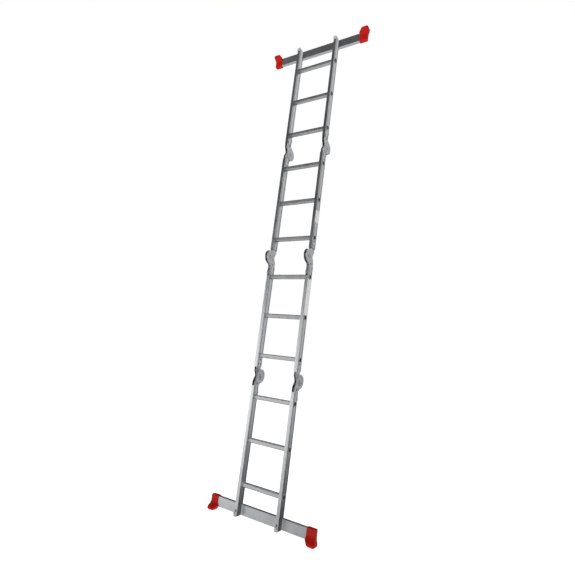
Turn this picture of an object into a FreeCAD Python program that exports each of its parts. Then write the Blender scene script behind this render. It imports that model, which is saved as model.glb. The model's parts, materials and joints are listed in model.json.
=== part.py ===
"""Multi position ladder: four aluminium sections joined by three pairs of locking hinges.

Frame: +Z runs up the ladder, X across it from the left rail to the right one, and -Y is the
front. The origin is on the ground under the middle of the fully extended ladder. Millimetres.
A hinge is drawn about its own rail's middle: Y towards its round head, Z towards its lever.
"""
import FreeCAD, Part
import os

import Sketcher
from FreeCAD import Placement, Rotation, Vector

SIZES = {
    # rails, rungs and how they are spaced
    "rung_pitch": 280, "rail_end": 190, "foot_drop": 27, "inner_width": 291,
    "rail_width": 23, "rail_depth": 58, "rail_wall": 1.6, "rail_round": 3,
    "groove_width": 3, "groove_depth": 0.5, "groove_offset": 17,
    "rung_size": 28, "rung_wall": 1.8, "rung_round": 6, "rung_fit": 0.1,
    "rib_width": 1.4, "rib_height": 0.7, "rib_pitch": 4.2,
    "collar_height": 1.8, "collar_length": 2.2,
    # stabiliser bars, their rubber feet, bolts and the rails' end plugs
    "bar_depth": 25, "bar_height": 64, "bar_wall": 2, "bar_front": 14, "bar_reach": 395,
    "foot_wall": 3.5, "foot_start": 338, "foot_end": 400, "foot_flare": 9, "foot_front": -22,
    "foot_bevel": 3, "foot_waist": 26, "foot_swell": 13, "foot_heel": 8, "toe_round": 5,
    "sole_start": 362, "sole_end": 404, "sole_bevel": 6, "bolt_radius": 4, "bolt_head": 8, "bolt_dome": 4,
    "nut_radius": 7.5, "nut_height": 5.5, "lip_depth": 5, "lip_height": 20, "plug_flange": 3,
    # hinges
    "axis_offset": 39, "head_radius": 47, "lever_cut": 65, "plain_cut": 62, "tang_length": 122,
    "vee_height": 38, "tang_half": 27, "shoulder_out": 39, "shoulder_rise": 25, "lever_neck": 3,
    "disc_neck": 20, "outer_plate": 2.5, "outer_face": 9.7, "inner_plate": 2.5, "inner_face": 6.9,
    "web_thick": 2.5, "web_gap": 5, "boss_pad": 9, "pin_radius": 9, "pin_head": 14,
    "pin_head_height": 2.4, "running_fit": 0.1, "ring_radius": 31, "ring_width": 4,
    "ring_depth": 0.5, "notch_floor": 43, "notch_width": 10.4, "notch_height": 10, "tooth_angle": 98.4,
    # lock levers, their springs and rivets
    "lever_half": 6.6, "pivot_y": 5, "pivot_z": 50, "lever_swing": 6.5,
    "press_pad": 16, "press_pad_y": 32, "press_pad_z": 109,
    "slot_low": 80, "slot_high": 134, "slot_half": 7.3, "rivet_radius": 3, "rivet_head": 5.5,
    "rivet_head_height": 2, "spring_radius": 4.5, "spring_wire": 1.2, "spring_pitch": 4.3,
    "spring_length": 30, "spring_z": 95,
}
RUNGS_PER_SECTION = 3
OVER = 1  # how far a cutting tool runs on past the faces that it opens
LOCKED_FOLDS = (0, 65, 140, 180)  # degrees of fold at which a lever's tooth finds a notch

doc = FreeCAD.newDocument("MultiPositionLadder")
sheet = doc.addObject("Spreadsheet::Sheet", "Sizes")


class Size:
    """A length or an angle that keeps the spreadsheet formula it was worked out by."""

    def __init__(self, value, formula):
        self.value = value
        self.formula = formula

    def __add__(self, other):
        other = as_size(other)
        return Size(self.value + other.value, f"({self.formula} + {other.formula})")

    def __sub__(self, other):
        other = as_size(other)
        return Size(self.value - other.value, f"({self.formula} - {other.formula})")

    def __mul__(self, other):
        other = as_size(other)
        return Size(self.value * other.value, f"{self.formula} * {other.formula}")

    def __truediv__(self, other):
        other = as_size(other)
        return Size(self.value / other.value, f"{self.formula} / {other.formula}")

    def __radd__(self, other):
        return as_size(other) + self

    def __rsub__(self, other):
        return as_size(other) - self

    def __neg__(self):
        return Size(-self.value, f"(0 - {self.formula})")


def as_size(number):
    """A plain number as a Size, so that it can stand in a formula."""
    return number if isinstance(number, Size) else Size(number, f"({number})")


def fill_sheet():
    """Write the driving sizes into the spreadsheet, one row and one alias each."""
    sizes = {}
    for row, (alias, number) in enumerate(SIZES.items(), 1):
        sheet.set(f"A{row}", alias)
        sheet.set(f"B{row}", str(number))
        sheet.setAlias(f"B{row}", alias)
        sizes[alias] = Size(number, f"Sizes.{alias}")
    doc.recompute()
    return sizes


def bind(thing, name, size):
    thing.setExpression(name, as_size(size).formula)


def new(kind):
    return doc.addObject(kind, kind.split("::")[1])


def put(thing, place):
    """Bind the position of an object to the three sizes of a place."""
    for axis, size in zip("xyz", place):
        bind(thing, f"Placement.Base.{axis}", size)


def box(low, high):
    """A block between two corners."""
    block = new("Part::Box")
    for name, a, b in zip(("Length", "Width", "Height"), low, high):
        bind(block, name, b - as_size(a))
    put(block, low)
    return block


def rod(radius, start, length, axis="x"):
    """A round bar that runs from a start point along one axis."""
    bar = new("Part::Cylinder")
    bind(bar, "Radius", radius)
    bind(bar, "Height", length)
    turns = {"x": Rotation(Vector(0, 1, 0), 90), "y": Rotation(Vector(1, 0, 0), -90), "z": Rotation()}
    bar.Placement = Placement(Vector(), turns[axis])
    put(bar, start)
    return bar


def fuse(pieces):
    if len(pieces) == 1:
        return pieces[0]
    whole = new("Part::MultiFuse")
    whole.Shapes = pieces
    return whole


def cut(base, tools):
    rest = new("Part::Cut")
    rest.Base = base
    rest.Tool = fuse(tools)
    return rest


def round_along(block, axis, radius):
    """Round the four edges of a block that run along one axis."""
    doc.recompute([block])
    picked = []
    for number, edge in enumerate(block.Shape.Edges, 1):
        run = edge.Vertexes[1].Point - edge.Vertexes[0].Point
        if abs(run.normalize().dot(axis)) > 0.99:
            picked.append((number, radius.value, radius.value))
    rounded = new("Part::Fillet")
    rounded.Base = block
    rounded.Edges = picked
    return rounded


def plane_of(body, role):
    return next(plane for plane in body.Origin.OriginFeatures if plane.Role == role)


def sketch_on(body, role, outline=(), circles=()):
    """A closed outline and circles on one of the body's own planes, every size from the sheet."""
    sketch = body.newObject("Sketcher::SketchObject", "Sketch")
    sketch.AttachmentSupport = [(plane_of(body, role), "")]
    sketch.MapMode = "FlatFace"
    corners = [Vector(as_size(a).value, as_size(b).value, 0) for a, b in outline]
    for number, corner in enumerate(corners):
        after = corners[(number + 1) % len(corners)]
        sketch.addGeometry(Part.LineSegment(corner, after), False)
    for number in range(len(corners)):
        joint = Sketcher.Constraint("Coincident", number, 2, (number + 1) % len(corners), 1)
        sketch.addConstraint(joint)
    marks = [(number, 1, point) for number, point in enumerate(outline)]
    for centre, radius in circles:
        middle = Vector(as_size(centre[0]).value, as_size(centre[1]).value, 0)
        number = sketch.addGeometry(Part.Circle(middle, Vector(0, 0, 1), as_size(radius).value), False)
        index = sketch.addConstraint(Sketcher.Constraint("Radius", number, as_size(radius).value))
        name_constraint(sketch, index, f"radius_{number}", radius)
        marks.append((number, 3, centre))
    for number, end, point in marks:
        for kind, size in zip(("DistanceX", "DistanceY"), point):
            size = as_size(size)
            index = sketch.addConstraint(Sketcher.Constraint(kind, -1, 1, number, end, size.value))
            name_constraint(sketch, index, f"{kind}_{number}", size)
    return sketch


def name_constraint(sketch, index, name, size):
    sketch.renameConstraint(index, name)
    bind(sketch, f"Constraints.{name}", size)


def pad(body, sketch, thickness):
    """Raise a sketch to both sides of its plane."""
    feature = body.newObject("PartDesign::Pad", "Pad")
    feature.Profile = sketch
    feature.SideType = "Symmetric"
    bind(feature, "Length", thickness)
    body.Tip = feature
    return feature


def pocket(body, sketch, thickness):
    """Cut a sketch away to both sides of its plane."""
    feature = body.newObject("PartDesign::Pocket", "Pocket")
    feature.Profile = sketch
    feature.SideType = "Symmetric"
    bind(feature, "Length", thickness)
    body.Tip = feature
    return feature


def plate(role, outline, thickness, place=(0, 0, 0)):
    """A flat body of one outline, as thick to each side of its plane, moved to a place."""
    body = doc.addObject("PartDesign::Body", "Plate")
    pad(body, sketch_on(body, role, outline), thickness)
    put(body, place)
    return body


s = fill_sheet()
nodes = []


def node(label, *pieces):
    """Name a finished sub-part; several pieces under one name stay separate solids."""
    thing = pieces[0]
    if len(pieces) > 1:
        thing = new("Part::Compound")
        thing.Links = list(pieces)
    thing.Label = label
    nodes.append(thing)
    return thing


# heights and places that many sub-parts share
X, Y, Z = Vector(1, 0, 0), Vector(0, 1, 0), Vector(0, 0, 1)
half_depth = s["rail_depth"] / 2
rail_bottom = s["foot_drop"]
first_rung = rail_bottom + s["rail_end"]
inner_face = s["inner_width"] / 2
outer_face = inner_face + s["rail_width"]
rail_middle = inner_face + s["rail_width"] / 2
SIDES = {"left": -1, "right": 1}


def rung_height(number):
    """Height of a rung's middle, counted from 1 at the bottom."""
    return first_rung + s["rung_pitch"] * (number - 1)


rail_top = rung_height(12) + s["rail_end"]


class Hinge:
    """One pair of hinges: its height, which way its lever and its head point, and its sections."""

    def __init__(self, name, below, lever_up, head_back):
        self.name = name
        self.below = below
        self.axis_z = rung_height(below * RUNGS_PER_SECTION) + s["rung_pitch"] / 2
        self.up = 1 if lever_up else -1
        self.back = 1 if head_back else -1
        self.lever_section = below + 1 if lever_up else below

    def turn(self):
        """Rotation from a hinge's own frame to the ladder's. Its parts are alike on both faces."""
        if self.up == 1:
            return Rotation()
        return Rotation(Y if self.back == 1 else X, 180)

    def y(self, size):
        return size * self.back

    def z(self, size):
        return self.axis_z + size * self.up


HINGES = [
    Hinge("lower_hinge", 1, lever_up=False, head_back=True),
    Hinge("middle_hinge", 2, lever_up=False, head_back=False),
    Hinge("upper_hinge", 3, lever_up=True, head_back=True),
]
LEVER_RIVETS = ((-17, 78), (-17, 112))  # through the rail and the lever arm's tang
DISC_RIVETS = ((-14, -82), (14, -82), (0, -112))  # through the rail and the disc arm's tang


def rounded_bar(low, high, radius):
    """A block along X with its long edges rounded."""
    return round_along(box(low, high), X, radius)


def rail_ends(section):
    """The two heights between which a section's rails run, and the hinges at its ends."""
    low, high = rail_bottom, rail_top
    ends = []
    for hinge in HINGES:
        gap = s["lever_cut"] if hinge.lever_section == section else s["plain_cut"]
        if hinge.below == section:
            high = hinge.axis_z - gap
            ends.append(hinge)
        if hinge.below + 1 == section:
            low = hinge.axis_z + gap
            ends.append(hinge)
    return low, high, ends


def rivet_places(section, hinge):
    """Where the rivets of one hinge go through a section's rails, as y and z."""
    rows = LEVER_RIVETS if hinge.lever_section == section else DISC_RIVETS
    return [(hinge.y(as_size(y)), hinge.z(as_size(z))) for y, z in rows]


def rail(section, side):
    """A box extrusion with two shallow grooves on each wide face, cut for what it carries."""
    low, high, ends = rail_ends(section)
    left = rail_middle * SIDES[side] - s["rail_width"] / 2
    right = left + s["rail_width"]
    tube = round_along(box((left, -half_depth, low), (right, half_depth, high)), Z, s["rail_round"])
    wall, depth = s["rail_wall"], s["groove_depth"]
    inside = half_depth - wall
    tools = [box((left + wall, -inside, low - OVER), (right - wall, inside, high + OVER))]
    for y in (-s["groove_offset"], s["groove_offset"]):
        near, far = y - s["groove_width"] / 2, y + s["groove_width"] / 2
        tools.append(box((left - OVER, near, low - OVER), (left + depth, far, high + OVER)))
        tools.append(box((right - depth, near, low - OVER), (right + OVER, far, high + OVER)))
    half = s["rung_size"] / 2 + s["rung_fit"]
    for number in rungs_of(section):
        z = rung_height(number)
        tools.append(rounded_bar((left - OVER, -half, z - half), (right + OVER, half, z + half),
                                 s["rung_round"] + s["rung_fit"]))
    hole = s["rivet_radius"] + s["running_fit"] / 2
    for hinge in ends:
        for y, z in rivet_places(section, hinge):
            tools.append(rod(hole, (left - OVER, y, z), s["rail_width"] + 2 * OVER))
        if hinge.lever_section == section:
            tools.append(lever_slot(hinge, rail_middle * SIDES[side]))
    if section in (1, 4):
        tools += bar_cuts(section, left - OVER, right + OVER, SIDES[side])
    node(f"rail_{side}_{section}", cut(tube, tools))


def rungs_of(section):
    first = (section - 1) * RUNGS_PER_SECTION + 1
    return range(first, first + RUNGS_PER_SECTION)


def lever_slot(hinge, middle):
    """The slot in a rail's narrow wall that a lever's press pad comes out of."""
    near = hinge.y(half_depth - s["rail_wall"] - OVER)
    far = hinge.y(half_depth + OVER)
    low, high = hinge.z(s["slot_low"]), hinge.z(s["slot_high"])
    if hinge.back < 0:
        near, far = far, near
    if hinge.up < 0:
        low, high = high, low
    return box((middle - s["slot_half"], near, low), (middle + s["slot_half"], far, high))


def bar_levels(section):
    """Lowest and highest height of the stabiliser bar at that end of the ladder."""
    if section == 1:
        return rail_bottom, rail_bottom + s["bar_height"]
    return rail_top - s["bar_height"], rail_top


def bar_cuts(section, left, right, side):
    """The step at a rail's end that the bar lies in, and the hole for its bolt."""
    low, high = bar_levels(section)
    step_low = low - OVER if section == 1 else low
    step_high = high if section == 1 else high + OVER
    step = box((left, s["bar_front"], step_low), (right, half_depth + OVER, step_high))
    start = (rail_middle * side, -half_depth - OVER, (low + high) / 2)
    hole = rod(s["bolt_radius"], start, s["rail_depth"], "y")
    return [step, hole]


def rung(number):
    """A square tube with a ribbed tread, swaged against both faces of both rails."""
    z, half, wall = rung_height(number), s["rung_size"] / 2, s["rung_wall"]
    collar, reach = half + s["collar_height"], outer_face + s["collar_length"]
    solids = [rounded_bar((-reach, -half, z - half), (reach, half, z + half), s["rung_round"])]
    edges = (-reach, -inner_face, inner_face - s["collar_length"], outer_face)
    for x in edges:
        start = (x, -collar, z - collar)
        solids.append(rounded_bar(start, (x + s["collar_length"], collar, z + collar), s["rung_round"]))
    for place in range(-2, 3):
        y = s["rib_pitch"] * place - s["rib_width"] / 2
        tread_end = inner_face - s["collar_length"]
        solids.append(box((-tread_end, y, z), (tread_end, y + s["rib_width"], z + half + s["rib_height"])))
    hollow = half - wall
    bore = rounded_bar((-reach - OVER, -hollow, z - hollow), (reach + OVER, hollow, z + hollow),
                       s["rung_round"] - wall)
    node(f"rung_{number:02d}", cut(fuse(solids), [bore]))


def stabiliser_bar(section, name):
    """A rectangular tube bolted into the steps at the rails' ends."""
    low, high = bar_levels(section)
    front, reach, wall = s["bar_front"], s["bar_reach"], s["bar_wall"]
    back = front + s["bar_depth"]
    tube = rounded_bar((-reach, front, low), (reach, back, high), s["rail_wall"])
    hollow = box((-reach - OVER, front + wall, low + wall), (reach + OVER, back - wall, high - wall))
    holes = []
    for side in SIDES.values():
        start = (rail_middle * side, front - OVER, (low + high) / 2)
        holes.append(rod(s["bolt_radius"], start, s["bar_depth"] + 2 * OVER, "y"))
    node(f"stabiliser_bar_{name}", cut(tube, [hollow] + holes))


def foot(section, name, side):
    """A rubber boot on the bar's end, with a flared foot that reaches forward and past the bar."""
    low, high = bar_levels(section)
    up = 1 if section == 1 else -1
    edge = low if section == 1 else high  # the bar's edge that the foot reaches past
    way = SIDES[side]

    def at(x, z):
        return (x * way, edge + z * up)

    wall, top, ground = s["foot_wall"], s["bar_height"] + s["foot_wall"], -s["foot_drop"]
    start, end, flare = s["foot_start"], s["foot_end"], s["foot_end"] + s["foot_flare"]
    bevel, waist, heel, swell = s["foot_bevel"], s["foot_waist"], s["foot_heel"], s["foot_swell"]
    sole_bevel, toe = s["sole_bevel"], s["toe_round"]
    front_view = [
        at(start, top), at(end - bevel, top), at(end, top - bevel), at(end, waist), at(flare, ground + swell),
        at(flare, ground + heel), at(s["sole_end"], ground), at(s["sole_start"], ground),
        at(s["sole_start"] - sole_bevel, ground + sole_bevel),
        at(start + sole_bevel * 2, -wall), at(start, -wall),
    ]
    face, back, tip = s["bar_front"] - wall, s["bar_front"] + s["bar_depth"] + wall, s["foot_front"]
    side_view = [
        (face, edge + top * up), (back, edge + top * up), (back, edge + (ground + heel) * up),
        (back - sole_bevel, edge + ground * up), (tip + toe, edge + ground * up),
        (tip, edge + (ground + toe) * up), (tip, edge + (ground + swell) * up), (face, edge + waist * up),
    ]
    across = plate("XZ_Plane", front_view, end)
    along = plate("YZ_Plane", side_view, end * 4)
    boot = new("Part::Common")
    boot.Base, boot.Tool = across, along
    fit = s["running_fit"]
    inner = start - OVER if way > 0 else -s["bar_reach"] - fit
    outer = s["bar_reach"] + fit if way > 0 else OVER - start
    socket = box((inner, s["bar_front"] - fit, low - fit),
                 (outer, s["bar_front"] + s["bar_depth"] + fit, high + fit))
    node(f"foot_{name}_{side}", cut(boot, [socket]))


def bar_bolt(section, side):
    """A coach bolt from the rail's front face through the bar, with its nut behind."""
    low, high = bar_levels(section)
    z, x = (low + high) / 2, rail_middle * SIDES[side]
    back = s["bar_front"] + s["bar_depth"]
    length = back + half_depth + s["nut_height"]
    shank = rod(s["bolt_radius"] - s["running_fit"] / 2, (x, -half_depth, z), length, "y")
    flange = rod(s["bolt_head"], (x, -half_depth - s["bolt_dome"] / 2, z), s["bolt_dome"] / 2, "y")
    dome = rod(s["bolt_head"] - s["bolt_dome"] / 2, (x, -half_depth - s["bolt_dome"], z), s["bolt_dome"], "y")
    nut = rod(s["nut_radius"], (x, back, z), s["nut_height"], "y")
    return fuse([shank, flange, dome, nut])


def end_plug(section, side):
    """A plastic plug in the rail's end, with a lip that wraps the rail's front face."""
    up, edge = (1, rail_bottom) if section == 1 else (-1, rail_top)
    x, half = rail_middle * SIDES[side], s["rail_width"] / 2
    fit, wall, lip = s["running_fit"], s["rail_wall"], s["lip_height"]

    def slab(low_x, high_x, y_low, y_high, z_low, z_high):
        heights = (z_low, z_high) if up > 0 else (z_high, z_low)
        return box((x + low_x, y_low, edge + heights[0] * up), (x + high_x, y_high, edge + heights[1] * up))

    inside = half - wall - fit
    front = -half_depth - s["lip_depth"]
    flange = slab(-half, half, front, s["bar_front"] - fit, -s["plug_flange"], as_size(0))
    lip_block = slab(-half, half, front, -half_depth, -s["plug_flange"], lip)
    core = slab(-inside, inside, -half_depth + wall + fit, s["bar_front"] - fit, -s["plug_flange"], lip)
    return fuse([flange, lip_block, core])


def head_outline(reach, up):
    """A plate's outline without its round head: the tang, the vee and the taper to the rail."""
    half, offset, radius = s["tang_half"], s["axis_offset"], s["head_radius"]
    level = as_size(0.01)  # the plate starts a hair past the pin's level, clear of the head's own seam
    if up > 0:
        return [(-half, reach), (-half, s["vee_height"]), (offset - radius, level), (offset, level),
                (offset + s["shoulder_out"], s["shoulder_rise"]), (half, s["lever_cut"] - s["lever_neck"]),
                (half, reach)]
    return [(-half, -reach), (-half, -s["vee_height"]), (offset - radius, -level), (offset, -level),
            (half, s["disc_neck"] - s["lever_cut"]), (half, -reach)]


def channel_room(up):
    """The space between a channel's plates: beside the web along the tang, and all across the head."""
    web = s["web_thick"] - s["tang_half"]
    clear = s["head_radius"] + s["tang_half"]  # far enough past the plates on every side
    start, end = (s["lever_cut"] + s["web_gap"]) * up, (s["tang_length"] + OVER) * up
    far = s["axis_offset"] + clear
    return [(web, start), (web, end), (far, end), (far, -clear * up), (-clear, -clear * up), (-clear, start)]


def rivet_holes(places):
    """A hole with a rivet's running fit at each place in a hinge's own frame."""
    return [((as_size(y), as_size(z)), s["rivet_radius"] + s["running_fit"] / 2) for y, z in places]


def lever_arm(hinge, place):
    """A channel with a round head: two outer plates joined by a web along the rail's far wall."""
    body = doc.addObject("PartDesign::Body", "LeverArm")
    axis = (s["axis_offset"], as_size(0))
    width = s["outer_face"] * 2
    gap = width - s["outer_plate"] * 2
    pad(body, sketch_on(body, "YZ_Plane", head_outline(s["tang_length"], 1)), width)
    pad(body, sketch_on(body, "YZ_Plane", circles=[(axis, s["head_radius"])]), width)
    pocket(body, sketch_on(body, "YZ_Plane", channel_room(1)), gap)
    holes = [(axis, s["pin_radius"] + s["running_fit"] / 2)]
    holes += rivet_holes([(s["pivot_y"], s["pivot_z"])] + list(LEVER_RIVETS))
    pocket(body, sketch_on(body, "YZ_Plane", circles=holes), width + 2 * OVER)
    body.Placement = Placement(Vector(), hinge.turn())
    put(body, place)
    return cut(body, ring_grooves(hinge, place))


def ring_grooves(hinge, place):
    """The two shallow rings pressed into the outer faces of a hinge head."""
    rings = []
    y, z = hinge.y(s["axis_offset"]), place[2]
    for way in (-1, 1):
        start = place[0] + s["outer_face"] * way - s["ring_depth"]
        outer = rod(s["ring_radius"], (start, y, z), s["ring_depth"] * 2)
        core_start = (start - OVER, y, z)
        core = rod(s["ring_radius"] - s["ring_width"], core_start, s["ring_depth"] * 2 + 2 * OVER)
        rings.append(cut(outer, [core]))
    return rings


def disc_arm(hinge, place):
    """Two inner plates with notched round heads, joined by a web and packed out to the rail."""
    body = doc.addObject("PartDesign::Body", "DiscArm")
    axis = (s["axis_offset"], as_size(0))
    width = s["inner_face"] * 2
    pad(body, sketch_on(body, "YZ_Plane", head_outline(s["tang_length"], -1)), width)
    pad(body, sketch_on(body, "YZ_Plane", circles=[(axis, s["head_radius"])]), width)
    bosses = [((as_size(y), as_size(z)), s["boss_pad"]) for y, z in DISC_RIVETS]
    pad(body, sketch_on(body, "YZ_Plane", circles=bosses), s["outer_face"] * 2)
    pocket(body, sketch_on(body, "YZ_Plane", channel_room(-1)), width - s["inner_plate"] * 2)
    holes = [(axis, s["pin_radius"] + s["running_fit"] / 2)] + rivet_holes(DISC_RIVETS)
    pocket(body, sketch_on(body, "YZ_Plane", circles=holes), s["outer_face"] * 2 + 2 * OVER)
    body.Placement = Placement(Vector(), hinge.turn())
    put(body, place)
    return cut(body, [notch(hinge, place, fold) for fold in LOCKED_FOLDS])


def notch(hinge, place, fold):
    """A radial slot in the disc's rim, where the tooth is when the hinge is folded that far."""
    block = new("Part::Box")
    bind(block, "Length", s["inner_face"] * 2 + 2 * OVER)
    bind(block, "Width", s["notch_width"])
    bind(block, "Height", s["notch_height"])
    angle = s["tooth_angle"].value - fold
    turn = Rotation(X, angle - 90)
    centre = Vector(0, s["axis_offset"].value, 0)
    corner = Vector(-s["inner_face"].value - OVER, -s["notch_width"].value / 2, s["notch_floor"].value)
    local = Placement(centre + turn.multVec(corner), turn)
    middle = Vector(place[0].value, 0, place[2].value)
    block.Placement = Placement(middle, hinge.turn()).multiply(local)
    return block


def lock_lever(hinge, place):
    """A bell crank: its tooth drops into the disc's notches, its pad stands out of the rail."""
    body = doc.addObject("PartDesign::Body", "LockLever")
    outline = [(28.6, 43.9), (36.6, 43.9), (36.6, 50.5), (31, 55.5), (22, 62), (22, 82), (30, 98),
               (24, 112), (13, 100), (8, 75), (-2.5, 53), (-2.5, 47), (2, 42.6), (8, 42.6), (14, 46.5),
               (24, 49.5), (27.8, 48.4)]
    points = [(as_size(y), as_size(z)) for y, z in outline]
    width = s["lever_half"] * 2
    press_pad = ((s["press_pad_y"], s["press_pad_z"]), s["press_pad"])
    bore = ((s["pivot_y"], s["pivot_z"]), s["rivet_radius"] + s["running_fit"])
    pad(body, sketch_on(body, "YZ_Plane", points), width)
    pad(body, sketch_on(body, "YZ_Plane", circles=[press_pad]), width)
    pocket(body, sketch_on(body, "YZ_Plane", circles=[bore]), width + 2 * OVER)
    spot = Vector(0, s["pivot_y"].value, s["pivot_z"].value)
    swing = Placement(Vector(), Rotation(X, s["lever_swing"].value), spot)
    middle = Vector(place[0].value, 0, place[2].value)
    body.Placement = Placement(middle, hinge.turn()).multiply(swing)
    return body


def two_heads(radius, height, x, y, z, half):
    """The heads at both ends of a pin or rivet along X that is half as long to each side of x."""
    return [rod(radius, (x - half - height, y, z), height), rod(radius, (x + half, y, z), height)]


def pivot_pin(hinge, place):
    """The headed pin that both arms turn on."""
    y, z = hinge.y(s["axis_offset"]), place[2]
    half, cap = s["outer_face"], s["pin_head_height"]
    shank = rod(s["pin_radius"], (place[0] - half, y, z), half * 2)
    return fuse([shank] + two_heads(s["pin_head"], cap, place[0], y, z, half))


def rivet(x, y, z, half):
    """A headed rivet along X whose heads bear on two faces, half to each side of x."""
    cap = s["rivet_head_height"]
    shank = rod(s["rivet_radius"], (x - half, y, z), half * 2)
    return fuse([shank] + two_heads(s["rivet_head"], cap, x, y, z, half))


def lever_spring(hinge, place):
    """A short coil spring between the channel's web and the back of the lever."""
    coil = doc.addObject("Part::Feature", "Spring")
    wire, radius = s["spring_wire"].value, s["spring_radius"].value
    spine = Part.makeHelix(s["spring_pitch"].value, s["spring_length"].value - wire, radius)
    profile = Part.Wire(Part.makeCircle(wire / 2, Vector(radius, 0, 0), Y))
    coil.Shape = Part.Wire(spine).makePipeShell([profile], True, True)
    web = s["web_thick"].value - s["tang_half"].value
    seat = Vector(0, web + wire / 2 + 2 * s["running_fit"].value, s["spring_z"].value)
    middle = Vector(place[0].value, 0, place[2].value)
    along = Placement(seat, Rotation(X, -90))
    coil.Placement = Placement(middle, hinge.turn()).multiply(along)
    return coil


def hinge_pair(hinge):
    """Both hinges of one joint, left and right."""
    pins, springs = [], []
    for side, way in SIDES.items():
        place = (rail_middle * way, as_size(0), hinge.axis_z)
        node(f"{hinge.name}_lever_arm_{side}", lever_arm(hinge, place))
        node(f"{hinge.name}_disc_arm_{side}", disc_arm(hinge, place))
        node(f"{hinge.name}_lock_lever_{side}", lock_lever(hinge, place))
        pins.append(pivot_pin(hinge, place))
        springs.append(lever_spring(hinge, place))
    node(f"{hinge.name}_pivot_pins", *pins)
    node(f"{hinge.name}_lever_springs", *springs)


def section_rivets(section):
    """Every rivet of a section: through the rails and tangs, and the lock levers' pivots."""
    rivets = []
    for hinge in rail_ends(section)[2]:
        for way in SIDES.values():
            x = rail_middle * way
            for y, z in rivet_places(section, hinge):
                rivets.append(rivet(x, y, z, s["rail_width"] / 2))
            if hinge.lever_section == section:
                rivets.append(rivet(x, hinge.y(s["pivot_y"]), hinge.z(s["pivot_z"]), s["outer_face"]))
    node(f"rivets_{section}", *rivets)


for section in range(1, 5):
    for side in SIDES:
        rail(section, side)
    for number in rungs_of(section):
        rung(number)
    section_rivets(section)
for section, name in ((1, "bottom"), (4, "top")):
    stabiliser_bar(section, name)
    for side in SIDES:
        foot(section, name, side)
    node(f"bar_bolts_{name}", *[bar_bolt(section, side) for side in SIDES])
    node(f"end_plugs_{name}", *[end_plug(section, side) for side in SIDES])
for hinge in HINGES:
    hinge_pair(hinge)

doc.recompute()
for thing in doc.Objects:
    if "Invalid" in thing.State or "Error" in thing.State:
        raise RuntimeError(f"{thing.Name} ({thing.Label}) failed: {thing.State}")
os.makedirs("parts", exist_ok=True)
for thing in nodes:
    if thing.Shape.isNull() or not thing.Shape.isValid():
        raise RuntimeError(f"{thing.Label} has no valid shape")
    thing.Shape.exportStep(f"parts/{thing.Label}.step")
    print(f"{thing.Label}: {len(thing.Shape.Solids)} solids, {thing.Shape.Volume / 1000:.1f} cm3")
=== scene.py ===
import json
import math

import bmesh
import bpy
from mathutils import Matrix, Vector


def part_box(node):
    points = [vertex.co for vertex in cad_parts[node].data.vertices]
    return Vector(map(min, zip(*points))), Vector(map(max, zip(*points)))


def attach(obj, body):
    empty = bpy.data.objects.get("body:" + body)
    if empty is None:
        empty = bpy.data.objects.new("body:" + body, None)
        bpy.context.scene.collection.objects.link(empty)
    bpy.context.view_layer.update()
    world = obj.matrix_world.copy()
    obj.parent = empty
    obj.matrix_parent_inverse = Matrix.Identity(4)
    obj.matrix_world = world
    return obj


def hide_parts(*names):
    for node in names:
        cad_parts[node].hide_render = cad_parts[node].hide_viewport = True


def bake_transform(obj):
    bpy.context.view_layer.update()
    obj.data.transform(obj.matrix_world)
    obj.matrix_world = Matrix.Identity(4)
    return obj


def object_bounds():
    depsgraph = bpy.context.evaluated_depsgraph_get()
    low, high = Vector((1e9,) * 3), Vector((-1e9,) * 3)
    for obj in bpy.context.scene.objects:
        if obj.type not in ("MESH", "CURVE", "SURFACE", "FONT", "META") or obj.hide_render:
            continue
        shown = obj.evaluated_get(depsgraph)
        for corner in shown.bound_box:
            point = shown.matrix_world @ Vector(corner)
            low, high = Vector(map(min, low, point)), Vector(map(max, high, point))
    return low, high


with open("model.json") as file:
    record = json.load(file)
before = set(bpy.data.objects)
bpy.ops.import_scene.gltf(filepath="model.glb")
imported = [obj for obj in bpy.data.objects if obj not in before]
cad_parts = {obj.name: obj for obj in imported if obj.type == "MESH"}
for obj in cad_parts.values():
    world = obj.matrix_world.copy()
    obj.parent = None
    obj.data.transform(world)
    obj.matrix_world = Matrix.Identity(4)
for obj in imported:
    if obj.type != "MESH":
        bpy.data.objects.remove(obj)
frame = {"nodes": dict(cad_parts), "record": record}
cad_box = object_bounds()
nodes = frame["nodes"]
record = frame["record"]

# ---------------------------------------------------------------------------------------------
# Rails. Eight box extrusions of aluminium, two to a section, cut to length and left as they come
# from the press: bright, a little dull, with die lines that run the whole length. Along the grooves
# in their wide faces the colour is darkened a little: painted shade.
MM = 0.001
GROOVE_PLACE = 17 * MM  # from the middle of a wide face
GROOVE_SHADE_SPREAD = 4.5 * MM  # the painted shade reaches past the 3 mm groove; drawn wide enough to show


def linear(hex_colour):
    """An sRGB hex colour as the linear RGBA that a shader socket takes."""
    channels = [int(hex_colour[i:i + 2], 16) / 255 for i in (0, 2, 4)]
    return [c / 12.92 if c <= 0.04045 else ((c + 0.055) / 1.055) ** 2.4 for c in channels] + [1.0]


def add(tree, kind, inputs=(), **settings):
    """Add a node to a tree. Inputs are a socket's name or number to a value or to what feeds it."""
    node = tree.nodes.new(kind)
    for name, value in settings.items():
        setattr(node, name, value)
    for name, value in dict(inputs).items():
        if isinstance(value, bpy.types.NodeSocket):
            tree.links.new(value, node.inputs[name])
        else:
            node.inputs[name].default_value = value
    return node


def new_material(name):
    """An empty node material, and the tree to build in."""
    material = bpy.data.materials.new(name)
    material.use_nodes = True
    material.node_tree.nodes.clear()
    return material, material.node_tree


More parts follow.
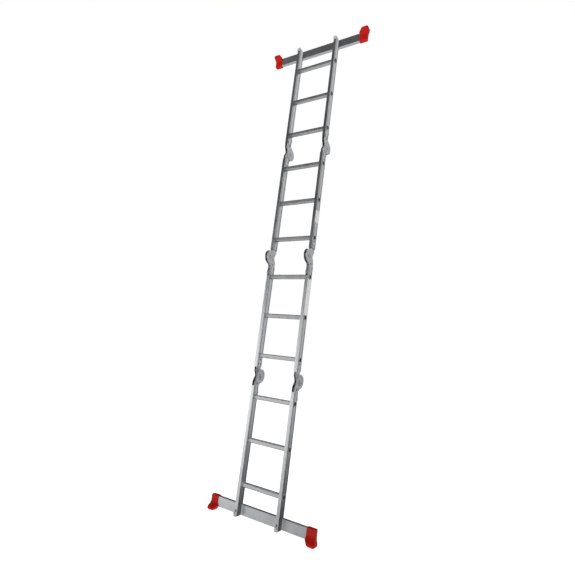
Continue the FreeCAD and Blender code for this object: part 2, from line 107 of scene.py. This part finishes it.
def finish_metal(tree, tone, rough, relief):
    """The last nodes of every bare metal here: a metallic shader with its own tone and bump."""
    shader = add(tree, "ShaderNodeBsdfPrincipled", {"Base Color": tone, "Metallic": 1.0, "Roughness": rough,
                                                    "Normal": relief})
    add(tree, "ShaderNodeOutputMaterial", {"Surface": shader.outputs["BSDF"]})


def drawn_aluminium(name, along, colours, roughness, grooves=False):
    """Mill finish aluminium. Die lines are streaks stretched along one axis; they shift the tone
    and lift the surface by a hair. Broad soft clouds stand for handling and oxide."""
    material, tree = new_material(name)
    place = add(tree, "ShaderNodeTexCoord").outputs["Object"]
    scale = [1 / (2.4 * MM)] * 3  # real die lines lie under 1 mm apart; these are coarse enough to show
    scale[along] = 1 / (700 * MM)
    lines_at = add(tree, "ShaderNodeMapping", {"Vector": place, "Scale": scale})
    lines = add(tree, "ShaderNodeTexNoise", {"Vector": lines_at.outputs["Vector"], "Scale": 1.0,
                                             "Detail": 3.0})
    clouds = add(tree, "ShaderNodeTexNoise", {"Vector": place, "Scale": 1 / (70 * MM), "Detail": 5.0,
                                              "Roughness": 0.6})
    mixed = add(tree, "ShaderNodeMath", {0: lines.outputs["Fac"], 1: clouds.outputs["Fac"]}, operation="ADD")
    share = add(tree, "ShaderNodeMapRange", {"Value": mixed.outputs["Value"], "From Min": 0.7,
                                             "From Max": 1.3})
    tone = add(tree, "ShaderNodeMix", {0: share.outputs["Result"], 6: linear(colours[0]),
                                       7: linear(colours[1])}, data_type="RGBA").outputs[2]
    # painted shade: a faint darker band along each groove in the rail's wide faces
    if grooves:
        depth = add(tree, "ShaderNodeSeparateXYZ", {"Vector": place}).outputs["Y"]
        side = add(tree, "ShaderNodeMath", {0: depth}, operation="ABSOLUTE")
        groove_shade_mask = add(tree, "ShaderNodeMath", {0: side.outputs["Value"], 1: GROOVE_PLACE, 2: GROOVE_SHADE_SPREAD},
                   operation="COMPARE")
        tone = add(tree, "ShaderNodeMix", {0: groove_shade_mask.outputs["Value"], 6: tone, 7: linear("c6c7c9")},
                   data_type="RGBA", blend_type="MULTIPLY").outputs[2]
    rough = add(tree, "ShaderNodeMapRange", {"Value": clouds.outputs["Fac"], "From Min": 0.3, "From Max": 0.7,
                                             "To Min": roughness - 0.05, "To Max": roughness + 0.07})
    relief = add(tree, "ShaderNodeBump", {"Height": lines.outputs["Fac"], "Strength": 0.15,
                                          "Distance": 0.2 * MM})
    finish_metal(tree, tone, rough.outputs["Result"], relief.outputs["Normal"])
    return material


def give(name, material):
    """Give a CAD piece its one finish."""
    piece = nodes[name]
    piece.data.materials.clear()
    piece.data.materials.append(material)


def named(start="", end=""):
    return [name for name in nodes if name.startswith(start) and name.endswith(end)]


rail_aluminium = drawn_aluminium("mill_finish_aluminium_rail", 2, ("c2c4c7", "e6e7e9"), 0.27, grooves=True)
for name in named("rail_"):
    give(name, rail_aluminium)

# ---------------------------------------------------------------------------------------------
# Rungs. Twelve square tubes of the same alloy with ribbed treads, pushed through both rails and
# swaged tight against them, so that each tube's open end shows on the rail's outer face.
rung_aluminium = drawn_aluminium("mill_finish_aluminium_rung", 0, ("c8cacd", "eaebec"), 0.43)
for name in named("rung_"):
    give(name, rung_aluminium)

# ---------------------------------------------------------------------------------------------
# Hinges. Each is two pressed steel arms with round heads, one a channel that the other turns in.
# Bright zinc plating, a little cloudy, with the soft rolled edge that a press tool leaves.
EDGE = 0.5 * MM
RAIL_MIDDLE = (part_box("rail_right_1")[0].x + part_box("rail_right_1")[1].x) / 2
PLATE_SHADE_REACH = 4.7 * MM  # half of the room between a hinge's inner plates, and their inner faces; the reach of the painted shade there


def zinc_plated(name, colours, roughness, mottle_mm, shaded_between_plates=False):
    """Zinc plated pressed steel: a soft grey metal with a faint crystal mottle. Between a hinge's
    plates it turns near black: painted shade."""
    material, tree = new_material(name)
    place = add(tree, "ShaderNodeTexCoord").outputs["Object"]
    mottle = add(tree, "ShaderNodeTexNoise", {"Vector": place, "Scale": 1 / (mottle_mm * MM), "Detail": 5.0,
                                              "Roughness": 0.65})
    grain = add(tree, "ShaderNodeTexNoise", {"Vector": place, "Scale": 1 / (0.8 * MM), "Detail": 2.0})
    share = add(tree, "ShaderNodeMapRange", {"Value": mottle.outputs["Fac"], "From Min": 0.35,
                                             "From Max": 0.65})
    tone = add(tree, "ShaderNodeMix", {0: share.outputs["Result"], 6: linear(colours[0]),
                                       7: linear(colours[1])}, data_type="RGBA").outputs[2]
    # painted shade: the faces between a hinge's inner plates turn near black
    if shaded_between_plates:
        across = add(tree, "ShaderNodeSeparateXYZ", {"Vector": place}).outputs["X"]
        from_middle = add(tree, "ShaderNodeMath", {0: across}, operation="ABSOLUTE")
        between = add(tree, "ShaderNodeMath", {0: from_middle.outputs["Value"], 1: RAIL_MIDDLE, 2: PLATE_SHADE_REACH},
                      operation="COMPARE")
        tone = add(tree, "ShaderNodeMix", {0: between.outputs["Value"], 6: tone, 7: linear("161617")},
                   data_type="RGBA").outputs[2]
    rough = add(tree, "ShaderNodeMapRange", {"Value": mottle.outputs["Fac"], "From Min": 0.3, "From Max": 0.7,
                                             "To Min": roughness - 0.06, "To Max": roughness + 0.1})
    relief = add(tree, "ShaderNodeBump", {"Height": grain.outputs["Fac"], "Strength": 0.1,
                                          "Distance": 0.1 * MM})
    finish_metal(tree, tone, rough.outputs["Result"], relief.outputs["Normal"])
    return material


def body_of_node(name):
    """The body that the record puts a piece on."""
    return next(body for body, members in record["behaviour"]["bodies"].items() if name in members)


def softened(name, material, width):
    """A copy of a CAD piece with its sharp edges rolled over, which stands for it."""
    mesh = nodes[name].data.copy()
    mesh.name = name + "_soft"
    form = bmesh.new()
    form.from_mesh(mesh)
    bmesh.ops.remove_doubles(form, verts=form.verts, dist=0.001 * MM)
    bmesh.ops.dissolve_limit(form, angle_limit=math.radians(1), verts=form.verts, edges=form.edges)
    form.to_mesh(mesh)
    form.free()
    piece = bpy.data.objects.new(name + "_soft", mesh)
    bpy.context.scene.collection.objects.link(piece)
    mesh.materials.clear()
    mesh.materials.append(material)
    mesh.polygons.foreach_set("use_smooth", [True] * len(mesh.polygons))
    roll = piece.modifiers.new("rolled_edge", "BEVEL")
    roll.width = width
    roll.segments = 2
    roll.limit_method = "ANGLE"
    roll.angle_limit = math.radians(40)
    roll.harden_normals = True
    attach(piece, body_of_node(name))
    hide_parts(name)
    return piece


hinge_zinc = zinc_plated("zinc_plated_pressed_steel", ("bcbec1", "e8e9ea"), 0.38, 11,
                         shaded_between_plates=True)
for name in nodes:
    if "_arm_" in name:
        softened(name, hinge_zinc, EDGE)

# ---------------------------------------------------------------------------------------------
# Pivot pins. Turned steel, zinc plated like the arms but darker, headed over on both sides.
# painted shade: the shank between a hinge's plates turns near black, as on the arms
pin_zinc = zinc_plated("zinc_plated_turned_pin", ("b4b6b9", "dcddde"), 0.36, 6, shaded_between_plates=True)
for name in named(end="_pivot_pins"):
    softened(name, pin_zinc, EDGE)

# ---------------------------------------------------------------------------------------------
# Lock levers. Steel bell cranks, rolled at the edges; the round pad is what a hand presses.
lever_zinc = zinc_plated("zinc_plated_lever", ("a5a7aa", "cdced0"), 0.34, 9)
for name in nodes:
    if "_lock_lever_" in name:
        softened(name, lever_zinc, 1.6 * MM)

# ---------------------------------------------------------------------------------------------
# Lever springs. Small coils of drawn spring steel, oiled and dark. Each sits between a hinge's web
# and the back of its lever.
spring_wire = zinc_plated("oiled_spring_wire", ("5b5d60", "77797c"), 0.25, 4)


def coil(name, hinge, side):
    """One of a hinge's two coils, cut from the CAD piece."""
    mesh = nodes[name].data.copy()
    mesh.name = f"{hinge}_spring_{side}"
    form = bmesh.new()
    form.from_mesh(mesh)
    other_side = [vert for vert in form.verts if (vert.co.x < 0) != (side == "left")]
    bmesh.ops.delete(form, geom=other_side, context="VERTS")
    form.to_mesh(mesh)
    depths = [vert.co.y for vert in form.verts]
    form.free()
    mesh.materials.clear()
    mesh.materials.append(spring_wire)
    piece = bpy.data.objects.new(mesh.name, mesh)
    bpy.context.scene.collection.objects.link(piece)
    web, lever = min(depths), max(depths)
    pin_low, pin_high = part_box(f"{hinge}_pivot_pins")
    if pin_low.y + pin_high.y < 0:
        web, lever = lever, web
    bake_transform(piece)
    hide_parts(name)


for name in named(end="_lever_springs"):
    for side in ("left", "right"):
        coil(name, name.removesuffix("_lever_springs"), side)

# ---------------------------------------------------------------------------------------------
# Rivets. Steel, with low domed heads set against the rails and the arms. One small tree of
# geometry nodes places a head on every seat.
DOME_FACES = 20
RIVET_HEAD_HEIGHT = 2 * MM


def islands(name):
    """The lowest and highest corner of each separate solid in a CAD piece."""
    form = bmesh.new()
    form.from_mesh(nodes[name].data)
    bmesh.ops.remove_doubles(form, verts=form.verts, dist=0.001 * MM)
    unseen = set(form.verts)
    boxes = []
    while unseen:
        group, edge_of_group = set(), [unseen.pop()]
        while edge_of_group:
            vert = edge_of_group.pop()
            group.add(vert)
            for edge in vert.link_edges:
                other = edge.other_vert(vert)
                if other in unseen:
                    unseen.discard(other)
                    edge_of_group.append(other)
        spots = [vert.co for vert in group]
        low = Vector(min(spot[axis] for spot in spots) for axis in range(3))
        high = Vector(max(spot[axis] for spot in spots) for axis in range(3))
        boxes.append((low, high))
    form.free()
    return sorted(boxes, key=lambda box: tuple(round(value, 5) for value in box[0]))


def seats(name, places):
    """A mesh of bare points for a tree to build on, each with the way that its head faces."""
    mesh = bpy.data.meshes.new(name)
    mesh.from_pydata([place for place, way in places], [], [])
    facing = mesh.attributes.new("facing", "FLOAT_VECTOR", "POINT")
    for number, (place, way) in enumerate(places):
        facing.data[number].vector = way
    piece = bpy.data.objects.new(name, mesh)
    bpy.context.scene.collection.objects.link(piece)
    return piece


def placing_tree(name, sizes):
    """A tree with one named input per size. Gives the tree, its input node and the seat points."""
    tree = bpy.data.node_groups.new(name, "GeometryNodeTree")
    tree.interface.new_socket("Geometry", in_out="INPUT", socket_type="NodeSocketGeometry")
    for size in sizes:
        tree.interface.new_socket(size, in_out="INPUT", socket_type="NodeSocketFloat")
    tree.interface.new_socket("Finish", in_out="INPUT", socket_type="NodeSocketMaterial")
    tree.interface.new_socket("Geometry", in_out="OUTPUT", socket_type="NodeSocketGeometry")
    given = add(tree, "NodeGroupInput")
    points = add(tree, "GeometryNodeMeshToPoints", {"Mesh": given.outputs["Geometry"]})
    return tree, given, points.outputs["Points"]


def place_on_seats(tree, given, points, form):
    """Turn a form to face the way each seat does, make it real and give it its finish."""
    facing = add(tree, "GeometryNodeInputNamedAttribute", {"Name": "facing"}, data_type="FLOAT_VECTOR")
    turned = add(tree, "FunctionNodeAlignRotationToVector", {"Vector": facing.outputs["Attribute"]}, axis="Z")
    placed = add(tree, "GeometryNodeInstanceOnPoints", {"Points": points, "Instance": form,
                                                        "Rotation": turned.outputs["Rotation"]})
    real = add(tree, "GeometryNodeRealizeInstances", {"Geometry": placed.outputs["Instances"]})
    finished = add(tree, "GeometryNodeSetMaterial", {"Geometry": real.outputs["Geometry"],
                                                     "Material": given.outputs["Finish"]})
    add(tree, "NodeGroupOutput", {"Geometry": finished.outputs["Geometry"]})


def built(piece, tree, values, body, replaced):
    """Run a tree on its seats, keep the result as a plain mesh, and fix it to its body."""
    maker = piece.modifiers.new("maker", "NODES")
    maker.node_group = tree
    for item in tree.interface.items_tree:
        if item.in_out == "INPUT" and item.name in values:
            maker[item.identifier] = values[item.name]
    result = piece.evaluated_get(bpy.context.evaluated_depsgraph_get())
    mesh = bpy.data.meshes.new_from_object(result)
    piece.modifiers.remove(maker)
    piece.data = mesh
    mesh.name = piece.name
    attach(piece, body)
    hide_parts(*replaced)
    return piece


def domed_head_tree():
    """A head is a ball pressed flat below and low above."""
    tree, given, points = placing_tree("domed_heads", ("Head Radius", "Head Height"))
    ball = add(tree, "GeometryNodeMeshUVSphere", {"Segments": DOME_FACES, "Rings": 10, "Radius": 1.0})
    here = add(tree, "GeometryNodeInputPosition")
    parts = add(tree, "ShaderNodeSeparateXYZ", {"Vector": here.outputs["Position"]})
    above = add(tree, "ShaderNodeMath", {0: parts.outputs["Z"], 1: 0.0}, operation="MAXIMUM")
    wide = add(tree, "ShaderNodeMath", {0: parts.outputs["X"], 1: given.outputs["Head Radius"]},
               operation="MULTIPLY")
    deep = add(tree, "ShaderNodeMath", {0: parts.outputs["Y"], 1: given.outputs["Head Radius"]},
               operation="MULTIPLY")
    tall = add(tree, "ShaderNodeMath", {0: above.outputs["Value"], 1: given.outputs["Head Height"]},
               operation="MULTIPLY")
    spot = add(tree, "ShaderNodeCombineXYZ", {"X": wide.outputs["Value"], "Y": deep.outputs["Value"],
                                              "Z": tall.outputs["Value"]})
    low = add(tree, "GeometryNodeSetPosition", {"Geometry": ball.outputs["Mesh"],
                                                "Position": spot.outputs["Vector"]})
    smooth = add(tree, "GeometryNodeSetShadeSmooth", {"Geometry": low.outputs["Geometry"]})
    place_on_seats(tree, given, points, smooth.outputs["Geometry"])
    return tree


# painted shade: the heads are coloured far darker than zinc plating, for the shade that sits on them
rivet_zinc = zinc_plated("zinc_plated_rivet", ("5f6164", "808285"), 0.3, 5)
domed_heads = domed_head_tree()
for name in named("rivets_"):
    places = []
    for low, high in islands(name):
        centre = (low + high) / 2
        head_radius = (high.z - low.z) / 2
        places.append(((low.x + RIVET_HEAD_HEIGHT, centre.y, centre.z), (-1, 0, 0)))
        places.append(((high.x - RIVET_HEAD_HEIGHT, centre.y, centre.z), (1, 0, 0)))
    built(seats(name + "_heads", places), domed_heads,
          {"Head Radius": head_radius, "Head Height": RIVET_HEAD_HEIGHT, "Finish": rivet_zinc},
          body_of_node(name), [name])

# ---------------------------------------------------------------------------------------------
# Stabiliser bars. Wide rectangular tubes of the same aluminium, brushed along their length, let
# into steps at the rails' ends and bolted through.
bar_aluminium = drawn_aluminium("brushed_aluminium_bar", 0, ("c4c6c9", "e2e3e5"), 0.3)
for name in named("stabiliser_bar_"):
    give(name, bar_aluminium)
    nodes[name].visible_glossy = False  # keeps the rails' side faces beside a bar dark, as they look

# ---------------------------------------------------------------------------------------------
# Bar bolts. Coach bolts with domed heads at the front and hexagon nuts behind the bar.
BOLT_HEAD_HEIGHT = 4 * MM
NUT_RADIUS = 7.5 * MM
NUT_HEIGHT = 5.5 * MM
SHANK_RADIUS = 4 * MM
bolt_zinc = zinc_plated("zinc_plated_bolt", ("85878a", "aaacae"), 0.3, 5)


def bolt_tree():
    """A domed head and, the bolt's length behind it, a nut with the end of the thread."""
    tree, given, points = placing_tree("coach_bolts", ("Head Radius", "Head Height", "Length", "Nut Radius",
                                                       "Nut Height", "Shank Radius"))
    ball = add(tree, "GeometryNodeMeshUVSphere", {"Segments": DOME_FACES, "Rings": 10, "Radius": 1.0})
    size = add(tree, "ShaderNodeCombineXYZ", {"X": given.outputs["Head Radius"],
                                              "Y": given.outputs["Head Radius"],
                                              "Z": given.outputs["Head Height"]})
    head = add(tree, "GeometryNodeTransform", {"Geometry": ball.outputs["Mesh"],
                                               "Scale": size.outputs["Vector"]})
    smooth = add(tree, "GeometryNodeSetShadeSmooth", {"Geometry": head.outputs["Geometry"]})
    half_nut = add(tree, "ShaderNodeMath", {0: given.outputs["Nut Height"], 1: 2.0}, operation="DIVIDE")
    nut_at = add(tree, "ShaderNodeMath", {0: half_nut.outputs["Value"], 1: given.outputs["Length"]},
                 operation="SUBTRACT")
    nut_spot = add(tree, "ShaderNodeCombineXYZ", {"Z": nut_at.outputs["Value"]})
    nut = add(tree, "GeometryNodeMeshCylinder", {"Vertices": 6, "Radius": given.outputs["Nut Radius"],
                                                 "Depth": given.outputs["Nut Height"]})
    nut_placed = add(tree, "GeometryNodeTransform", {"Geometry": nut.outputs["Mesh"],
                                                     "Translation": nut_spot.outputs["Vector"]})
    half_length = add(tree, "ShaderNodeMath", {0: given.outputs["Length"], 1: -2.0}, operation="DIVIDE")
    shank_spot = add(tree, "ShaderNodeCombineXYZ", {"Z": half_length.outputs["Value"]})
    shank = add(tree, "GeometryNodeMeshCylinder", {"Vertices": DOME_FACES,
                                                   "Radius": given.outputs["Shank Radius"],
                                                   "Depth": given.outputs["Length"]})
    shank_placed = add(tree, "GeometryNodeTransform", {"Geometry": shank.outputs["Mesh"],
                                                       "Translation": shank_spot.outputs["Vector"]})
    whole = add(tree, "GeometryNodeJoinGeometry")
    for part in (smooth, nut_placed, shank_placed):
        tree.links.new(part.outputs["Geometry"], whole.inputs["Geometry"])
    place_on_seats(tree, given, points, whole.outputs["Geometry"])
    return tree


coach_bolts = bolt_tree()
for name in named("bar_bolts_"):
    places = []
    for low, high in islands(name):
        centre = (low + high) / 2
        head_radius = (high.z - low.z) / 2
        places.append(((centre.x, low.y + BOLT_HEAD_HEIGHT, centre.z), (0, -1, 0)))
        length = high.y - low.y - BOLT_HEAD_HEIGHT
    built(seats(name + "_set", places), coach_bolts,
          {"Head Radius": head_radius, "Head Height": BOLT_HEAD_HEIGHT, "Length": length,
           "Nut Radius": NUT_RADIUS, "Nut Height": NUT_HEIGHT, "Shank Radius": SHANK_RADIUS,
           "Finish": bolt_zinc},
          body_of_node(name), [name])

# ---------------------------------------------------------------------------------------------
# Feet. Red rubber boots moulded in one piece and pushed over the bars' ends. A boot hugs the tube,
# then swells forward and outward into a sole with cross grooves for grip.
RING_POINTS = 40
SLEEVE_WALL = 3.5 * MM
SOLE_FLARE = 9 * MM  # how far the sole reaches past the sleeve
TOE_ROUND = 8 * MM  # how far the moulded toe stays behind the plain CAD toe


def moulded(name, colours, roughness, grain_mm, gloss):
    """Moulded rubber or plastic: an even colour, paler where it is rubbed, with a pebbled skin."""
    material, tree = new_material(name)
    place = add(tree, "ShaderNodeTexCoord").outputs["Object"]
    pebble = add(tree, "ShaderNodeTexNoise", {"Vector": place, "Scale": 1 / (grain_mm * MM), "Detail": 3.0})
    wear = add(tree, "ShaderNodeTexNoise", {"Vector": place, "Scale": 1 / (16 * MM), "Detail": 5.0,
                                            "Roughness": 0.7})
    share = add(tree, "ShaderNodeMapRange", {"Value": wear.outputs["Fac"], "From Min": 0.35,
                                             "From Max": 0.65})
    tone = add(tree, "ShaderNodeMix", {0: share.outputs["Result"], 6: linear(colours[0]),
                                       7: linear(colours[1])}, data_type="RGBA")
    relief = add(tree, "ShaderNodeBump", {"Height": pebble.outputs["Fac"], "Strength": 0.3,
                                          "Distance": 0.25 * MM})
    shader = add(tree, "ShaderNodeBsdfPrincipled", {"Base Color": tone.outputs[2], "Roughness": roughness,
                                                    "IOR": 1.5, "Specular IOR Level": gloss,
                                                    "Normal": relief.outputs["Normal"]})
    add(tree, "ShaderNodeOutputMaterial", {"Surface": shader.outputs["BSDF"]})
    return material


def rounded_ring(x_low, x_high, y_low, y_high, z, corner):
    """Points round a rectangle with round corners, at one height."""
    points = []
    per_corner = RING_POINTS // 4
    centres = ((x_high - corner, y_high - corner, 0), (x_low + corner, y_high - corner, 90),
               (x_low + corner, y_low + corner, 180), (x_high - corner, y_low + corner, 270))
    for x, y, start in centres:
        for step in range(per_corner):
            angle = math.radians(start + 90 * step / (per_corner - 1))
            points.append((x + corner * math.cos(angle), y + corner * math.sin(angle), z))
    return points


def boot(name, material):
    """A foot lofted through rounded rectangles, hollowed for the bar, its sole grooved."""
    low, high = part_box(name)
    side = 1 if low.x > 0 else -1
    up = 1 if "bottom" in name else -1
    bar_low, bar_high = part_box("stabiliser_bar_" + name.split("_")[1])
    mouth, tip = min(abs(low.x), abs(high.x)), max(abs(low.x), abs(high.x))
    tall, face, toe = high.z - low.z, bar_low.y - SLEEVE_WALL, low.y + TOE_ROUND
    back, ground = high.y, low.z if up > 0 else high.z
    outer = tip - SOLE_FLARE
    # height over the ground, inner and outer x, front and back y, corner radius; inner x is from the mouth
    levels = [
        (tall, 3, outer - 4 * MM, face + 2 * MM, back - 2 * MM, 4),
        (tall - 1 * MM, 0.6, outer - 1 * MM, face, back, 6),
        (tall - 5 * MM, 0, outer, face, back, 6),
        (62 * MM, 0, outer, face, back, 6),
        (50 * MM, 0, outer, face - 1 * MM, back, 6),
        (40 * MM, 0, outer + 1.5 * MM, face - 6 * MM, back, 7),
        (30 * MM, 0, outer + 4 * MM, face - 14 * MM, back, 8),
        (25 * MM, 3, outer + 6 * MM, face - 18 * MM, back, 9),
        (20 * MM, 8, outer + 8 * MM, toe + 2.5 * MM, back, 10),
        (14 * MM, 12, tip - 0.6 * MM, toe + 0.8 * MM, back, 11),
        (9 * MM, 14, tip, toe, back, 11),
        (5 * MM, 16, tip - 1 * MM, toe + 0.6 * MM, back - 1.5 * MM, 11),
        (1.6 * MM, 20, tip - 3.4 * MM, toe + 3 * MM, back - 4.5 * MM, 10),
        (0.0, 24, tip - 5 * MM, toe + 5 * MM, back - 6 * MM, 9),
    ]
    form = bmesh.new()
    rings = []
    for height, inset, x_outer, y_front, y_back, corner in levels:
        x_ends = sorted((side * (mouth + inset * MM), side * x_outer))
        ring = rounded_ring(*x_ends, y_front, y_back, ground + height * up, corner * MM)
        rings.append([form.verts.new(point) for point in ring])
    for upper, lower in zip(rings, rings[1:]):
        for number in range(len(upper)):
            after = (number + 1) % len(upper)
            form.faces.new((upper[number], upper[after], lower[after], lower[number]))
    form.faces.new(rings[0])
    form.faces.new(rings[-1])
    bmesh.ops.recalc_face_normals(form, faces=form.faces)
    mesh = bpy.data.meshes.new(name + "_boot")
    form.to_mesh(mesh)
    form.free()
    mesh.polygons.foreach_set("use_smooth", [True] * len(mesh.polygons))
    mesh.materials.append(material)
    piece = bpy.data.objects.new(name + "_boot", mesh)
    bpy.context.scene.collection.objects.link(piece)

    fit = 0.1 * MM
    bar_x = sorted((side * (mouth - 5 * MM), side * (max(abs(bar_low.x), abs(bar_high.x)) + fit)))
    cuts = [((bar_x[0], bar_low.y - fit, bar_low.z - fit), (bar_x[1], bar_high.y + fit, bar_high.z + fit))]
    groove, pitch, depth = 2.4 * MM, 7.5 * MM, 1.6 * MM
    for step in range(6):
        y = toe + 9 * MM + pitch * step
        z = sorted((ground - depth * up, ground + depth * up))
        cuts.append(((low.x - 1 * MM, y, z[0]), (high.x + 1 * MM, y + groove, z[1])))
    knife = bmesh.new()
    for start, end in cuts:
        centre, size = (Vector(start) + Vector(end)) / 2, Vector(end) - Vector(start)
        place = Matrix.Translation(centre) @ Matrix.Diagonal((*size, 1))
        bmesh.ops.create_cube(knife, size=1, matrix=place)
    knife_mesh = bpy.data.meshes.new("knife")
    knife.to_mesh(knife_mesh)
    knife.free()
    cutter = bpy.data.objects.new("knife", knife_mesh)
    bpy.context.scene.collection.objects.link(cutter)
    hollow = piece.modifiers.new("hollow", "BOOLEAN")
    hollow.operation, hollow.solver, hollow.object = "DIFFERENCE", "EXACT", cutter
    result = piece.evaluated_get(bpy.context.evaluated_depsgraph_get())
    piece.data = bpy.data.meshes.new_from_object(result)
    piece.modifiers.clear()
    bpy.data.objects.remove(cutter)
    piece.data.set_sharp_from_angle(angle=math.radians(35))
    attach(piece, body_of_node(name))
    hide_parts(name)


foot_rubber = moulded("red_moulded_rubber", ("a20b05", "b7120a"), 0.5, 0.9, 0.2)
for name in named("foot_"):
    boot(name, foot_rubber)

# ---------------------------------------------------------------------------------------------
# End plugs. Grey polypropylene, pushed into the rails' ends, with a lip that wraps the front face.
plug_plastic = moulded("grey_moulded_polypropylene", ("a4a6a8", "b6b8ba"), 0.38, 0.8, 0.5)
for name in named("end_plugs_"):
    softened(name, plug_plastic, 1.5 * MM)

# ---------------------------------------------------------------------------------------------
# Labels. Two blank strips of pale plastic film stuck to the right rail's outer face, a long one on
# the second section and a short one on the third. They carry no print.
FILM = 0.25 * MM
GLUE = 0.02 * MM
LABEL_HALF_WIDTH = 23 * MM
LABEL_CORNER = 3 * MM
label_film = moulded("pale_matt_label_film", ("d2d3d2", "e6e7e6"), 0.45, 1.2, 0.5)
for section, bottom, top in ((2, 1.355, 1.600), (3, 2.005, 2.095)):
    outer_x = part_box(f"rail_right_{section}")[1].x
    outline = rounded_ring(-LABEL_HALF_WIDTH, LABEL_HALF_WIDTH, bottom, top, 0, LABEL_CORNER)
    form = bmesh.new()
    sheets = []
    for x in (outer_x + GLUE, outer_x + GLUE + FILM):
        sheets.append([form.verts.new((x, y, z)) for y, z, _ in outline])
    for number in range(len(outline)):
        after = (number + 1) % len(outline)
        form.faces.new((sheets[0][number], sheets[0][after], sheets[1][after], sheets[1][number]))
    form.faces.new(sheets[0])
    form.faces.new(sheets[1])
    bmesh.ops.recalc_face_normals(form, faces=form.faces)
    mesh = bpy.data.meshes.new(f"blank_label_{section}")
    form.to_mesh(mesh)
    form.free()
    mesh.materials.append(label_film)
    label = bpy.data.objects.new(f"blank_label_{section}", mesh)
    bpy.context.scene.collection.objects.link(label)
    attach(label, f"section_{section}")

# ---------------------------------------------------------------------------------------------
# Floor, light and camera. A white sweep under soft studio light: the room is bright low down in
# front, grey behind and darker high up. A lamp that mirrors do not see fills the matt colours.
low, high = cad_box
bpy.ops.mesh.primitive_plane_add(size=60, location=(0, 0, low.z - 0.0005))
floor = bpy.context.object
floor.name = "studio_floor"
material, tree = new_material("white_studio_paper")
paper = add(tree, "ShaderNodeBsdfDiffuse", {"Color": linear("f2f2f2")})
glow = add(tree, "ShaderNodeEmission", {"Color": (1, 1, 1, 1), "Strength": 0.9})
both = add(tree, "ShaderNodeAddShader", {0: paper.outputs["BSDF"], 1: glow.outputs["Emission"]})
add(tree, "ShaderNodeOutputMaterial", {"Surface": both.outputs["Shader"]})
floor.data.materials.append(material)
floor.visible_glossy = False

world = bpy.data.worlds.new("studio")
bpy.context.scene.world = world
world.use_nodes = True
tree = world.node_tree
tree.nodes.clear()
direction = add(tree, "ShaderNodeTexCoord").outputs["Generated"]
parts = add(tree, "ShaderNodeSeparateXYZ", {"Vector": direction})
BRIGHTEST = 1.8


def shade_by(value, levels, top=BRIGHTEST):
    """A soft run of light levels over one coordinate of a direction, from -1 to 1. The run holds
    shares of the brightest light, because a ramp's colours stop at 1."""
    place = add(tree, "ShaderNodeMapRange", {"Value": value, "From Min": -1.0, "From Max": 1.0})
    run = add(tree, "ShaderNodeValToRGB", {"Fac": place.outputs["Result"]})
    stops = run.color_ramp.elements
    while len(stops) > 1:
        stops.remove(stops[0])
    for number, (at, level) in enumerate(levels):
        stop = stops[0] if number == 0 else stops.new((at + 1) / 2)
        stop.position = (at + 1) / 2
        stop.color = (level / top, level / top, level / top, 1)
    return run.outputs["Color"]


front = shade_by(parts.outputs["Z"], (
    (-0.7, 0.45), (-0.33, 0.78), (-0.23, 0.9), (-0.14, 1.5), (0.02, 1.65), (0.11, 0.85), (0.2, 0.29),
    (0.3, 0.16), (0.4, 0.07), (0.52, 0.08), (0.6, 0.26), (0.66, 0.22), (0.9, 0.4)))
boxes = shade_by(parts.outputs["X"], (
    (-0.62, 1.0), (-0.54, 0.9), (-0.47, 0.7), (-0.4, 0.45), (0.0, 0.35), (0.4, 0.6), (0.6, 1.0)), top=1.0)
front = add(tree, "ShaderNodeMix", {0: 1.0, 6: front, 7: boxes}, data_type="RGBA",
            blend_type="MULTIPLY").outputs[2]
back_right = shade_by(parts.outputs["Z"], (
    (-0.7, 0.35), (-0.42, 0.08), (-0.31, 0.03), (-0.24, 0.16), (-0.12, 0.5), (0.0, 0.58), (0.2, 0.58),
    (0.4, 0.6), (0.6, 0.72), (0.9, 0.6)))
back_left = shade_by(parts.outputs["Z"], (
    (-0.8, 0.9), (-0.64, 0.8), (-0.55, 0.3), (-0.3, 0.18), (-0.1, 0.14), (0.1, 0.12), (0.2, 0.06),
    (0.45, 0.06), (0.7, 0.3), (0.9, 0.5)))
rightness = add(tree, "ShaderNodeMapRange", {"Value": parts.outputs["X"], "From Min": -0.3,
                                             "From Max": 0.3})
back = add(tree, "ShaderNodeMix", {0: rightness.outputs["Result"], 6: back_left, 7: back_right},
           data_type="RGBA").outputs[2]
behind = add(tree, "ShaderNodeMapRange", {"Value": parts.outputs["Y"], "From Min": -0.25,
                                          "From Max": 0.25})
room = add(tree, "ShaderNodeMix", {0: behind.outputs["Result"], 6: front, 7: back},
           data_type="RGBA").outputs[2]
seen = add(tree, "ShaderNodeLightPath").outputs["Is Camera Ray"]
shown = add(tree, "ShaderNodeMix", {0: seen, 6: room, 7: (1, 1, 1, 1)}, data_type="RGBA")
strength = add(tree, "ShaderNodeMapRange", {"Value": seen, "To Min": BRIGHTEST, "To Max": 1.0})
studio = add(tree, "ShaderNodeBackground", {"Color": shown.outputs[2],
                                            "Strength": strength.outputs["Result"]})
add(tree, "ShaderNodeOutputWorld", {"Surface": studio.outputs["Background"]})

lamp = bpy.data.objects.new("soft_front_lamp", bpy.data.lights.new("soft_front_lamp", "AREA"))
bpy.context.scene.collection.objects.link(lamp)
lamp.data.size = 3.0
lamp.data.energy = 70
lamp.location = (-1.0, -4.0, 4.0)
lamp.rotation_euler = (Vector((0, 0, 1.5)) - lamp.location).to_track_quat("-Z", "Y").to_euler()
lamp.visible_glossy = False  # it fills in the matt colours and leaves the metals to the room

camera = bpy.data.objects.new("camera", bpy.data.cameras.new("camera"))
bpy.context.scene.collection.objects.link(camera)
bpy.context.scene.camera = camera
camera.data.sensor_width = 36
camera.data.lens = 25.8
spot = Vector((1.498, -2.391, 1.014))
gaze = Vector((-0.5216, 0.8331, 0.1839))
roll = math.radians(7.3)
camera.matrix_world = (Matrix.Translation(spot) @ gaze.to_track_quat("-Z", "Y").to_matrix().to_4x4()
                       @ Matrix.Rotation(roll, 4, "Z"))
bpy.context.scene.view_settings.view_transform = "Standard"
